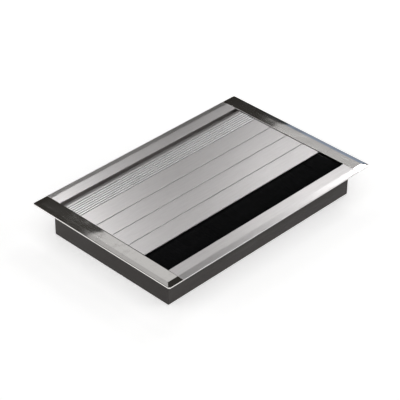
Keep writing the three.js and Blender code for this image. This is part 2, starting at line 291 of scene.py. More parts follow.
@dataclass(frozen=True)
class SatinAluminium:
    """Anodised aluminium with a soft grain along X.

    In the grooves and on the lid's sawn ends, where the recess mark is 1, the metal is dull and its colour is
    darkened near black as painted shade.
    On the ribs' crests and the planks' chamfers, where the highlight mark is 1, its colour is lightened to
    near white as a painted highlight.
    """

    name: str = "satin_aluminium"
    bright: Colour = (0.755, 0.735, 0.735)
    dull: Colour = (0.705, 0.685, 0.685)
    # painted highlight: the near-white colour for the ribs' crests and the planks' chamfers
    cut: Colour = (0.97, 0.96, 0.96)
    # painted shade: the near-black colour for the grooves and the sawn ends
    painted_shade: Colour = (0.05, 0.049, 0.048)
    grain: Triple = (70.0, 620.0, 620.0)
    clouds: Triple = (22.0, 40.0, 40.0)
    roughness: float = 0.29
    cloud_roughness: float = 0.05
    groove_roughness: float = 0.25
    grain_depth: float = 4.0e-7

    def paint(self) -> bpy.types.Material:
        """The grain shifts the tone and bends the normal, and broad noise shifts the roughness a little."""
        tree = Tree(self.name)
        grain = tree.noise(self.grain, detail=2.0, roughness=0.6)
        cloud = tree.noise(self.clouds, detail=3.0)
        # Painted shade: the recess mark darkens the grooves and the sawn ends, and also roughens them.
        shaded_recess = tree.mark("shaded_recess")
        unshaded = tree.mix(tree.ramp(grain, low=0.3, high=0.7), opaque(self.dull), opaque(self.bright))
        # Painted highlight on the ribs' crests and the planks' chamfers.
        unshaded = tree.mix(tree.mark("painted_highlight"), unshaded, opaque(self.cut))
        return tree.finish(
            {
                "Base Color": tree.mix(shaded_recess, unshaded, opaque(self.painted_shade)),
                "Metallic": 1.0,
                "Roughness": self.roughness
                + (cloud - 0.5) * self.cloud_roughness
                + shaded_recess * self.groove_roughness,
                "Normal": tree.bump(grain, self.grain_depth),
            }
        )


@dataclass(frozen=True)
class PolishedChrome:
    """Bright plating over a hand-polished casting: slightly wavy, with hairlines and a trace of grease."""

    name: str = "polished_chrome"
    tint: Colour = (0.84, 0.82, 0.80)
    shade: Colour = (0.74, 0.72, 0.70)
    roughness: float = 0.06
    smear_roughness: float = 0.05
    hairline_roughness: float = 0.02
    wave: Triple = (26.0, 30.0, 26.0)
    wave_depth: float = 2.6e-4
    ripple: Triple = (120.0, 60.0, 120.0)
    ripple_depth: float = 0.8e-4
    smears: Triple = (70.0, 110.0, 70.0)
    hairlines: Triple = (900.0, 26.0, 900.0)

    def paint(self) -> bpy.types.Material:
        """Broad waves and small ripples bend the normal, and smears and hairlines shift the roughness."""
        tree = Tree(self.name)
        wave = tree.noise(self.wave, detail=0.0)
        ripple = tree.noise(self.ripple, detail=0.0)
        smear = tree.noise(self.smears, detail=5.0, roughness=0.65)
        hairline = tree.ramp(tree.noise(self.hairlines, detail=1.0), low=0.62, high=0.72)
        marks = tree.ramp(smear, low=0.55, high=0.75)
        waved = tree.bump(ripple, self.ripple_depth, tree.bump(wave, self.wave_depth))
        return tree.finish(
            {
                "Base Color": tree.mix(marks, opaque(self.tint), opaque(self.shade)),
                "Metallic": 1.0,
                "Roughness": self.roughness
                + marks * self.smear_roughness
                + hairline * self.hairline_roughness,
                "Normal": waved,
            }
        )


@dataclass(frozen=True)
class PowderCoat:
    """Fine-textured dark paint on folded sheet, rubbed a little paler in places."""

    name: str = "powder_coat"
    base: Colour = (0.029, 0.0242, 0.0218)
    rubbed: Colour = (0.037, 0.0315, 0.0285)
    roughness: float = 0.52
    rub_roughness: float = 0.12
    grain_roughness: float = 0.1
    specular: float = 0.32
    rubs: Triple = (26.0, 26.0, 60.0)
    texture_depth: float = 6.0e-5

    def paint(self) -> bpy.types.Material:
        """Two sizes of grain bend the normal, and broad noise shifts the tone and the roughness."""
        tree = Tree(self.name)
        peel = tree.noise(even(900.0), detail=2.0)
        grain = tree.noise(even(3200.0), detail=1.0)
        rub = tree.ramp(tree.noise(self.rubs, detail=5.0, roughness=0.6), low=0.4, high=0.75)
        return tree.finish(
            {
                "Base Color": tree.mix(rub, opaque(self.base), opaque(self.rubbed)),
                "Roughness": self.roughness
                + rub * self.rub_roughness
                + (grain - 0.5) * self.grain_roughness,
                "Specular IOR Level": self.specular,
                "Normal": tree.bump(peel * 0.7 + grain * 0.3, self.texture_depth),
            }
        )


@dataclass(frozen=True)
class BlackFilament:
    """Black nylon filaments. Each has its own tone, held in the mesh's tone attribute."""

    name: str = "black_filament"
    dark: Colour = (0.0005, 0.0006, 0.0008)
    light: Colour = (0.0046, 0.0050, 0.0064)
    roughness: float = 0.42
    tone_roughness: float = 0.2
    ring_roughness: float = 0.15
    specular: float = 0.12
    rings: Triple = (300.0, 2400.0, 300.0)
    ring_depth: float = 1.0e-5

    def paint(self) -> bpy.types.Material:
        """The tone picks the colour and the gloss, and fine rings roughen each filament."""
        tree = Tree(self.name)
        tone = tree.mark("tone")
        rings = tree.noise(self.rings, detail=1.0)
        return tree.finish(
            {
                "Base Color": tree.mix(tone, opaque(self.dark), opaque(self.light)),
                "Roughness": self.roughness
                + tone * self.tone_roughness
                + (rings - 0.5) * self.ring_roughness,
                "Specular IOR Level": self.specular,
                "Normal": tree.bump(rings, self.ring_depth),
            }
        )


@dataclass(frozen=True)
class ZincSteel:
    """Zinc-plated steel with a mottled, slightly dulled skin."""

    name: str = "zinc_steel"
    bright: Colour = (0.60, 0.60, 0.58)
    dull: Colour = (0.42, 0.42, 0.41)
    roughness: float = 0.26
    dull_roughness: float = 0.2
    spangle_depth: float = 1.5e-5

    def paint(self) -> bpy.types.Material:
        """Fine spangle shifts the tone and the roughness and bends the normal."""
        tree = Tree(self.name)
        spangle = tree.noise(even(900.0), detail=4.0, roughness=0.65)
        tone = tree.ramp(spangle, low=0.35, high=0.65)
        return tree.finish(
            {
                "Base Color": tree.mix(tone, opaque(self.dull), opaque(self.bright)),
                "Metallic": 1.0,
                "Roughness": self.roughness + (1.0 - tone) * self.dull_roughness,
                "Normal": tree.bump(spangle, self.spangle_depth),
            }
        )


@dataclass(frozen=True)
class MouldedPolymer:
    """A dark moulded plastic or rubber with a fine moulded texture."""

    name: str
    base: Colour
    bloom: Colour
    roughness: float
    texture_depth: float
    bloom_roughness: float = 0.12

    def paint(self) -> bpy.types.Material:
        """Fine noise is the moulded texture, and broad noise a faint bloom on the surface."""
        tree = Tree(self.name)
        texture = tree.noise(even(2600.0), detail=2.0)
        bloom = tree.ramp(tree.noise(even(240.0), detail=3.0), low=0.45, high=0.75)
        return tree.finish(
            {
                "Base Color": tree.mix(bloom, opaque(self.base), opaque(self.bloom)),
                "Roughness": self.roughness + bloom * self.bloom_roughness,
                "Normal": tree.bump(texture, self.texture_depth),
            }
        )


BLACK_NYLON = MouldedPolymer(
    name="black_nylon",
    base=(0.012, 0.012, 0.013),
    bloom=(0.03, 0.03, 0.03),
    roughness=0.38,
    texture_depth=6.0e-6,
)
BLACK_RUBBER = MouldedPolymer(
    name="black_rubber",
    base=(0.014, 0.014, 0.014),
    bloom=(0.04, 0.04, 0.038),
    roughness=0.72,
    texture_depth=1.6e-5,
)


@dataclass(frozen=True)
class StudioPaper:
    """The pale paper that the object stands on, lit softly from underneath as on a light table."""

    name: str = "studio_paper"
    colour: Colour = (0.965, 0.965, 0.965)
    fibre: Colour = (0.94, 0.94, 0.94)
    roughness: float = 0.9
    specular: float = 0.1
    glow: float = 0.52

    def paint(self) -> bpy.types.Material:
        """A faint fibre shifts the tone."""
        tree = Tree(self.name)
        fibre = tree.noise(even(400.0), detail=3.0)
        colour = tree.mix(tree.ramp(fibre, low=0.4, high=0.6), opaque(self.fibre), opaque(self.colour))
        return tree.finish(
            {
                "Base Color": colour,
                "Roughness": self.roughness,
                "Specular IOR Level": self.specular,
                "Emission Color": colour,
                "Emission Strength": self.glow,
            }
        )


# Surfaces -------------------------------------------------------------------------------------------------


@dataclass
class Surface:
    """Vertices in millimetres, and faces as lists of their indices."""

    points: Array
    faces: list[Sequence[int]]

    @staticmethod
    def joined(parts: Sequence["Surface"]) -> "Surface":
        """Several surfaces in one, each still closed on its own."""
        starts = np.cumsum([0] + [len(part.points) for part in parts[:-1]])
        faces = []
        for part, start in zip(parts, starts):
            faces += [[int(i) + int(start) for i in face] for face in part.faces]
        return Surface(np.concatenate([part.points for part in parts]), faces)

    def mirrored(self) -> "Surface":
        """The mirror image in the middle plane, X to -X, with its faces turned to point outwards."""
        faces = [list(reversed(face)) for face in self.faces]
        return Surface(self.points * np.array([-1.0, 1.0, 1.0]), faces)


def filleted(corners: Array, steps: int = 4) -> Array:
    """Rounds a closed outline's corners.

    At each corner a circle of radius r touches both sides. Its middle lies on the corner's bisector, and its
    arc is swept in equal angles between the two tangent points. A corner with r of 0 stays one point.

    Args:
        corners: Rows of (a, b, r).
        steps: How many segments an arc has.

    Returns:
        The outline as rows of (a, b), with repeated points left out.
    """
    tiny, same_place = 1e-9, 1e-6
    at, radius = corners[:, :2], corners[:, 2:3]
    towards = np.stack([np.roll(at, 1, axis=0) - at, np.roll(at, -1, axis=0) - at])
    towards /= np.linalg.norm(towards, axis=2, keepdims=True)
    half = 0.5 * np.arccos(np.clip(np.sum(towards[0] * towards[1], axis=1), -1.0, 1.0))[:, None]
    bisector = towards.sum(axis=0)
    bisector /= np.maximum(np.linalg.norm(bisector, axis=1, keepdims=True), tiny)
    middle = at + bisector * radius / np.sin(half)
    spokes = at + towards * radius / np.tan(half) - middle
    turn = math.pi - 2.0 * half
    share = np.linspace(0.0, 1.0, steps + 1)[None, :, None]
    spread = np.maximum(np.sin(turn), tiny)[:, None, :]
    weights = np.sin((1.0 - share) * turn[:, None]) / spread, np.sin(share * turn[:, None]) / spread
    arcs = middle[:, None] + weights[0] * spokes[0][:, None] + weights[1] * spokes[1][:, None]
    arcs = np.where(radius[:, None] > 0.0, arcs, at[:, None])
    outline = arcs.reshape(-1, 2)
    step = np.linalg.norm(outline - np.roll(outline, 1, axis=0), axis=1)
    return outline[step > same_place]


def arc(middle: Pair, radius: float, start: float, end: float, steps: int) -> Array:
    """Points of a circular arc, as rows of (a, b, 0), from one angle to another in degrees."""
    angle = np.radians(np.linspace(start, end, steps + 1))
    a = middle[0] + radius * np.cos(angle)
    b = middle[1] + radius * np.sin(angle)
    return np.stack([a, b, 0.0 * angle], axis=1)


def shrunk(outline: Array, inset: float) -> Array:
    """Moves each point of a closed outline inwards.

    A point moves along the sum of its two sides' inward normals, divided by one plus their dot product, so
    that both sides move by the inset.

    Args:
        outline: Rows of (a, b), counter-clockwise round the material.
        inset: The distance between the old and new sides.

    Returns:
        The moved outline.
    """
    side = np.roll(outline, -1, axis=0) - outline
    side /= np.linalg.norm(side, axis=1, keepdims=True)
    after = np.stack([-side[:, 1], side[:, 0]], axis=1)
    before = np.roll(after, 1, axis=0)
    sharpest = 0.35
    share = 1.0 + np.sum(before * after, axis=1, keepdims=True)
    return outline + inset * (before + after) / np.maximum(share, sharpest)


def walls(levels: int, after: Array) -> list[list[int]]:
    """Four-sided faces between rings of points that stand one above the next.

    Args:
        levels: How many rings there are.
        after: For each point of a ring, the point that follows it round its loop.

    Returns:
        The faces.
    """
    count = len(after)
    here = np.arange(count)
    lower = np.arange(levels - 1)[:, None] * count
    sides = [lower + here, lower + after, lower + after + count, lower + here + count]
    return np.stack(sides, axis=2).reshape(-1, 4).tolist()


def deburred(low: float, high: float, cut: float) -> list[Pair]:
    """Stations for swept from one end to the other, with the edges of both ends cut back by the cut."""
    return [(low, cut), (low + cut, 0.0), (high - cut, 0.0), (high, cut)]


def swept(loops: Sequence[Array], stations: Sequence[Pair], axis: Axis) -> Surface:
    """Carries an outline, which may have holes, along an axis.

    A point is (outline(u) moved inwards by inset(v), place(v)) for the outline's point u and station v. The
    two ends are filled with triangles.

    Args:
        loops: The outer outline counter-clockwise, then holes clockwise, as rows of (a, b).
        stations: Rising (place along the axis, inset of the outline there).
        axis: The direction.

    Returns:
        The closed surface.
    """
    count = sum(len(loop) for loop in loops)
    rings = [np.concatenate([shrunk(loop, inset) for loop in loops]) for _, inset in stations]
    points = np.empty((len(stations), count, 3))
    points[:, :, axis.value[0]] = np.stack(rings)[:, :, 0]
    points[:, :, axis.value[1]] = np.stack(rings)[:, :, 1]
    points[:, :, axis.value[2]] = np.array([place for place, _ in stations])[:, None]
    here = np.arange(count)
    starts = np.cumsum([0] + [len(loop) for loop in loops])
    after = np.concatenate([np.roll(here[a:b], -1) for a, b in zip(starts[:-1], starts[1:])])
    flat = [[Vector((a, b, 0.0)) for a, b in loop] for loop in loops]
    caps = np.array(tessellate_polygon(flat))
    a, b, c = (np.concatenate([np.array(loop) for loop in loops])[caps[:, i]] for i in range(3))
    turned = np.cross(b - a, c - a) < 0.0
    caps[turned] = caps[turned][:, ::-1]
    faces = walls(len(stations), after)
    faces += caps[:, ::-1].tolist()
    faces += (caps + (len(stations) - 1) * count).tolist()
    return Surface(points.reshape(-1, 3), faces)


def stacked(rings: Array) -> Surface:
    """Joins rings of equal length, one above the next, and closes the first and last with flat faces.

    Args:
        rings: Points by ring, then round the ring counter-clockwise seen from above.

    Returns:
        The closed surface.
    """
    levels, count = rings.shape[:2]
    here = np.arange(count)
    faces = walls(levels, np.roll(here, -1))
    faces.append(here[::-1].tolist())
    faces.append((here + (levels - 1) * count).tolist())
    return Surface(rings.reshape(-1, 3), faces)


def turned_on_x(profile: Array, middle: Pair, segments: int = 48) -> Surface:
    """Turns a closed profile about an axis along X.

    A point is (x(u), y0 + r(u) cos v, z0 + r(u) sin v).

    Args:
        profile: Rows of (x, r), going round the material.
        middle: The axis's y0 and z0.
        segments: How many steps v takes round the axis.

    Returns:
        The closed ring.
    """
    angle = np.linspace(0.0, 2.0 * math.pi, segments, endpoint=False)[:, None]
    x = np.broadcast_to(profile[None, :, 0], (segments, len(profile)))
    y = middle[0] + profile[None, :, 1] * np.cos(angle)
    z = middle[1] + profile[None, :, 1] * np.sin(angle)
    points = np.stack([x, y, z], axis=2).reshape(-1, 3)
    count = len(profile)
    here = np.arange(segments)[:, None] * count + np.arange(count)
    right = np.roll(here, -1, axis=1)
    above = np.roll(here, -1, axis=0)
    beyond = np.roll(right, -1, axis=0)
    return Surface(points, np.stack([here, right, beyond, above], axis=2).reshape(-1, 4).tolist())


def added(name: str, data: bpy.types.ID) -> bpy.types.Object:
    """Puts a mesh, a light or a camera into the scene as an object."""
    made = bpy.data.objects.new(name, data)
    bpy.context.scene.collection.objects.link(made)
    return made


def meshed(
    name: str,
    surface: Surface,
    finish: bpy.types.Material,
    marks: dict[str, Array] | None = None,
) -> bpy.types.Mesh:
    """Makes a surface into a mesh, in metres.

    Args:
        name: The mesh's name.
        surface: Its surface.
        finish: Its material.
        marks: A value from 0 to 1 for each vertex, by the name of the attribute that the finish reads.

    Returns:
        The mesh.
    """
    mesh = bpy.data.meshes.new(name)
    mesh.from_pydata((surface.points * MM).tolist(), [], surface.faces)
    for mark, values in (marks or {}).items():
        mesh.attributes.new(mark, "FLOAT", "POINT").data.foreach_set("value", values.astype(np.float32))
    mesh.materials.append(finish)
    return mesh


def piece(
    name: str,
    surface: Surface,
    finish: bpy.types.Material,
    body: Body,
    replaced: Sequence[str] = (),
    sharp: float = 32.0,
    marks: dict[str, Array] | None = None,
) -> bpy.types.Object:
    """Makes a surface into an object that rides on a body.

    Args:
        name: The piece's name.
        surface: Its surface.
        finish: Its material.
        body: The body that it moves with.
        replaced: The CAD nodes that it stands for.
        sharp: Edges that turn by more than this many degrees stay sharp.
        marks: The vertices' values, as meshed takes them.

    Returns:
        The object.
    """
    mesh = meshed(name, surface, finish, marks)
    solid = bmesh.new()
    solid.from_mesh(mesh)
    bmesh.ops.remove_doubles(solid, verts=solid.verts, dist=MERGE)
    bmesh.ops.dissolve_degenerate(solid, edges=solid.edges, dist=MERGE)
    bmesh.ops.recalc_face_normals(solid, faces=solid.faces)
    solid.to_mesh(mesh)
    solid.free()
    mesh.shade_smooth()
    mesh.set_sharp_from_angle(angle=math.radians(sharp))
    made = added(name, mesh)
    flats = made.modifiers.new("flats_stay_flat", "WEIGHTED_NORMAL")
    flats.mode = "FACE_AREA"
    flats.weight = 100
    flats.keep_sharp = True
    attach(made, body.value)
    if replaced:
        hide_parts(*replaced)
    log.info("%s: %d faces on %s", name, len(mesh.polygons), body.value)
    return made


def dress(node: str, finish: bpy.types.Material, edge: float = 0.0) -> None:
    """Gives a CAD node its finish, and softens its edges.

    Args:
        node: The node's name.
        finish: Its material.
        edge: The width of the softened edge, in millimetres. 0 keeps the edges sharp.
    """
    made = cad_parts[node]
    made.data.materials.clear()
    made.data.materials.append(finish)
    made.data.shade_smooth()
    weld = made.modifiers.new("join_triangles", "WELD")
    weld.merge_threshold = WELD
    if edge > 0.0:
        bevel = made.modifiers.new("soft_edges", "BEVEL")
        bevel.width = edge * MM
        bevel.segments = 2
        bevel.limit_method = "ANGLE"
        bevel.angle_limit = CREASE
        bevel.harden_normals = True
    else:
        split = made.modifiers.new("sharp_edges", "EDGE_SPLIT")
        split.split_angle = CREASE
    log.info("%s: %s", node, finish.name)


# Sub-assemblies -------------------------------------------------------------------------------------------


@dataclass(frozen=True)
class Palette:
    """One material for each finish."""

    aluminium: bpy.types.Material
    chrome: bpy.types.Material
    coat: bpy.types.Material
    filament: bpy.types.Material
    steel: bpy.types.Material
    nylon: bpy.types.Material
    rubber: bpy.types.Material

    @staticmethod
    def mixed() -> "Palette":
        """Paints every finish once."""
        return Palette(
            aluminium=SatinAluminium().paint(),
            chrome=PolishedChrome().paint(),
            coat=PowderCoat().paint(),
            filament=BlackFilament().paint(),
            steel=ZincSteel().paint(),
            nylon=BLACK_NYLON.paint(),
            rubber=BLACK_RUBBER.paint(),
        )


@dataclass
class Rails:
    """The front and rear extrusions, with a flat top, a shallow bevel and a screw channel in the foot."""

    inner: float = OPENING[1]
    outer: float = field(default_factory=lambda: reach("rear_rail", 1))
    ridge: float = 74.2
    top: float = field(default_factory=lambda: reach("rear_rail", 2))
    lip_round: float = 0.25
    ridge_round: float = 1.6
    groove: Pair = (67.3, 29.8)
    half_length: float = field(default_factory=lambda: reach("rear_rail", 0))
    channel: Pair = (61.7, 17.6)
    channel_radius: float = 1.7
    foot: Triple = (58.2, 14.5, 20.5)
    shelf: Triple = (59.6, 24.0, 25.2)
    deburr: float = 0.12

    def outline(self, shelf: bool) -> Array:
        """The rear rail's section, counter-clockwise in the Y-Z plane.

        Args:
            shelf: Whether a shelf for the bristles' tips stands on the leg.

        Returns:
            Rows of (y, z).
        """
        foot_in, foot_low, foot_top = self.foot
        ledge_in, ledge_low, ledge_top = self.shelf
        channel_y, channel_radius = self.channel[0], self.channel_radius
        ledge = [
            (self.inner, ledge_top, BROKEN),
            (ledge_in, ledge_top, BROKEN),
            (ledge_in, ledge_low, BROKEN),
            (self.inner, ledge_low, BROKEN),
        ]
        rows = [
            (self.inner, self.top, SOFT),
            *(ledge if shelf else []),
            (self.inner, foot_top, SOFT),
            (foot_in, foot_top, BROKEN),
            (foot_in, foot_low, BROKEN),
            (channel_y - channel_radius, foot_low, CRISP),
            *arc(self.channel, channel_radius, 180.0, 0.0, 20),
            (channel_y + channel_radius, foot_low, CRISP),
            (self.inner + LEG, foot_low, BROKEN),
            (self.inner + LEG, self.groove[1], CRISP),
            (self.groove[0], self.groove[1], CRISP),
            (self.groove[0], SEAT, CRISP),
            (self.outer, SEAT, BROKEN),
            (self.outer, LIP_TOP, self.lip_round),
            (self.ridge, self.top, self.ridge_round),
        ]
        return filleted(np.array(rows))

    def build(self, palette: Palette) -> None:
        """Sweeps both rails along X and dresses them.

        Args:
            palette: The materials.
        """
        stations = deburred(-self.half_length, self.half_length, self.deburr)
        rear = swept([self.outline(False)], stations, Axis.X)
        piece("rear_rail_extrusion", rear, palette.aluminium, Body.FRAME, ["rear_rail"])
        front = self.outline(True) * np.array([-1.0, 1.0])
        front = swept([front[::-1]], stations, Axis.X)
        piece("front_rail_extrusion", front, palette.aluminium, Body.FRAME, ["front_rail"])


@dataclass
class EndCaps:
    """The two chrome castings: a bevelled flange, a leg, the hinge boss and the lid's rest."""

    inner: float = OPENING[0]
    outer: float = field(default_factory=lambda: reach("right_end_cap", 0))
    half_depth: float = field(default_factory=lambda: reach("right_end_cap", 1))
    top: float = field(default_factory=lambda: reach("right_end_cap", 2))
    bevel: float = 4.4
    bevel_depthways: float = 5.8
    corner: float = 1.8
    crown: float = 0.035
    flat_inset: float = 6.8
    slope_insets: tuple[float, ...] = (0.25, 0.6, 1.5, 2.5, 3.5, 4.2)
    flat_insets: tuple[float, ...] = (4.6, 5.5)
    lip_round: float = 0.25
    lip_chord: Pair = (0.07, 0.08)
    corner_taper: float = 0.35
    corner_least: float = 0.8
    inner_corner: float = 0.15
    corner_steps: int = 8
    leg_half: float = 65.0
    leg_foot: float = 14.5
    leg_overlap: float = 0.3
    boss: Pair = (102.1, 2.8)
    boss_round: float = 0.25
    pin_bore: float = 1.58
    rest: tuple[float, float, float, float] = (99.5, 106.3, -24.0, -14.0)
    rest_height: Pair = (22.4, 25.4)
    rest_round: float = 1.2
    buffer_x: float = 102.5
    buffer_hole: float = 1.8

    @property
    def ridge_height(self) -> float:
        """The height where the bevel meets the flat top, below the crown."""
        return self.top - self.crown + self.crown * (self.bevel / self.flat_inset) ** 2

    def flange(self) -> Surface:
        """The right flange, as rounded rectangles stacked from its underside to its crowned top.

        A ring's outer side is inset by d, its front and rear by d times the two bevels' ratio, and its inner
        side by a small round-over near the top. The height over d is a lip with rounded edges, then the
        bevel up to a crisp ridge, then a slight crown.

        Returns:
            The closed surface.
        """
        near, far = self.lip_chord
        edge = np.array(
            [
                (self.lip_round, SEAT),
                (far, SEAT + near),
                (0.0, SEAT + self.lip_round),
                (0.0, LIP_TOP - self.lip_round),
                (near, LIP_TOP - far),
            ]
        )
        slope_insets = np.array([*self.slope_insets, self.bevel, *self.flat_insets, self.flat_inset])
        inset = np.concatenate([edge[:, 0], slope_insets])
        rise = slope_insets / self.bevel
        slope = LIP_TOP + (self.top - self.crown - LIP_TOP) * np.minimum(rise, 1.0)
        height = np.concatenate([edge[:, 1], slope + self.crown * (rise / rise[-1]) ** 2])
        height[-1] = min(height[-1], self.top)
        near_top = np.clip((height - (self.top - SOFT)) / SOFT, 0.0, 1.0)
        inner = SOFT * (1.0 - np.sqrt(1.0 - near_top**2))
        ratio = self.bevel_depthways / self.bevel
        x_low = self.inner + inner
        x_high = self.outer - inset
        y_half = self.half_depth - inset * ratio
        rounding = np.clip(self.corner - self.corner_taper * inset, self.corner_least, None)
        return stacked(self._rounded_rings(x_low, x_high, y_half, rounding, height))

    def _rounded_rings(
        self, x_low: Array, x_high: Array, y_half: Array, outer: Array, height: Array
    ) -> Array:
        """Rounded rectangles, one to a row of the inputs.

        Each corner is a quarter circle, with a radius of its own on the outer side and a small one on the
        inner side. Its middle lies inside the corner by its radius, and its angle starts at its own quarter.

        Args:
            x_low: The inner side's place.
            x_high: The outer side's place.
            y_half: Half the depth.
            outer: The outer corners' radius.
            height: The ring's height.

        Returns:
            Points by ring, then round the ring.
        """
        steps = self.corner_steps
        sweep = np.radians(np.linspace(0.0, 90.0, steps + 1))
        quarters = []
        for start, x_side, y_side in ((-90.0, 1, -1), (0.0, 1, 1), (90.0, -1, 1), (180.0, -1, -1)):
            radius = outer if x_side > 0 else np.full_like(outer, self.inner_corner)
            x_middle = x_high - radius if x_side > 0 else x_low + radius
            y_middle = y_side * (y_half - radius)
            angle = math.radians(start) + sweep
            quarters.append(
                np.stack(
                    [
                        x_middle[:, None] + radius[:, None] * np.cos(angle),
                        y_middle[:, None] + radius[:, None] * np.sin(angle),
                        np.broadcast_to(height[:, None], (len(height), steps + 1)),
                    ],
                    axis=2,
                )
            )
        return np.concatenate(quarters, axis=1)

    def crease_ridge(self, made: bpy.types.Object) -> None:
        """Marks the ring of edges where the bevel meets the flat top as sharp.

        Args:
            made: The casting.
        """
        tolerance = 0.002
        mesh = made.data
        heights = np.empty(len(mesh.vertices) * 3)
        mesh.vertices.foreach_get("co", heights)
        ends = np.empty(len(mesh.edges) * 2, dtype=np.int32)
        mesh.edges.foreach_get("vertices", ends)
        off_ridge = np.abs(heights[2::3] / MM - self.ridge_height)[ends].reshape(-1, 2)
        sharp = np.empty(len(mesh.edges), dtype=bool)
        mesh.edges.foreach_get("use_edge_sharp", sharp)
        mesh.edges.foreach_set("use_edge_sharp", sharp | (off_ridge < tolerance).all(axis=1))

    def leg_web(self) -> Surface:
        """The upright leg inside the well, a rounded strip swept upwards."""
        x0, x1, half = self.inner, self.inner + LEG, self.leg_half
        outline = np.array([(x0, -half, SOFT), (x1, -half, SOFT), (x1, half, SOFT), (x0, half, SOFT)])
        stations = [(self.leg_foot, BROKEN), (self.leg_foot + BROKEN, 0.0), (SEAT + self.leg_overlap, 0.0)]
        return swept([filleted(outline)], stations, Axis.Z)

    def hinge_boss(self) -> Surface:
        """The bored boss that carries the pin, a ring turned on X."""
        x0, radius = self.boss
        x1 = self.inner + LEG / 2
        bore = self.pin_bore
        outside = [(x0, radius - self.boss_round), (x0 + self.boss_round, radius), (x1, radius)]
        inside = [(x1, bore), (x0 + BROKEN, bore)]
        return turned_on_x(np.array([(x0, bore + BROKEN), *outside, *inside]), HINGE)

    def lid_rest(self) -> Surface:
        """The block under the lid's front corner, with the hole that the buffer's stem fills."""
        x0, x1, y0, y1 = self.rest
        nose = self.rest_round
        outline = np.array([(x0, y0, nose), (x1, y0, SOFT), (x1, y1, SOFT), (x0, y1, nose)])
        hole = arc((self.buffer_x, (y0 + y1) / 2), self.buffer_hole, 360.0, 0.0, 32)[:-1, :2]
        return swept([filleted(outline, 6), hole], deburred(*self.rest_height, BROKEN), Axis.Z)

    def build(self, palette: Palette) -> None:
        """Makes the right casting, mirrors it for the left, and dresses what is fixed to both.

        Args:
            palette: The materials.
        """
        right = Surface.joined([self.flange(), self.leg_web(), self.hinge_boss(), self.lid_rest()])
        for side, surface in (("right", right), ("left", right.mirrored())):
            name = f"{side}_end_casting"
            replaced = [f"{side}_end_cap"]
            made = piece(name, surface, palette.chrome, Body.FRAME, replaced, sharp=40.0)
            self.crease_ridge(made)
            dress(f"hinge_pin_{side}", palette.steel)
            dress(f"lid_buffer_{side}", palette.rubber, 0.15)
            for place in ("front", "rear"):
                dress(f"end_cap_screw_{side}_{place}", palette.steel)


@dataclass
class CableWell:
    """The painted box under the frame, and the screws that hold it."""

    edge: float = 0.25
    screws_to_a_side: int = 3

    def build(self, palette: Palette) -> None:
        """Dresses the well and its screws.

        Args:
            palette: The materials.
        """
        dress("cable_well", palette.coat, self.edge)
        for side in ("front", "rear"):
            for number in range(1, self.screws_to_a_side + 1):
                dress(f"well_screw_{side}_{number}", palette.steel)


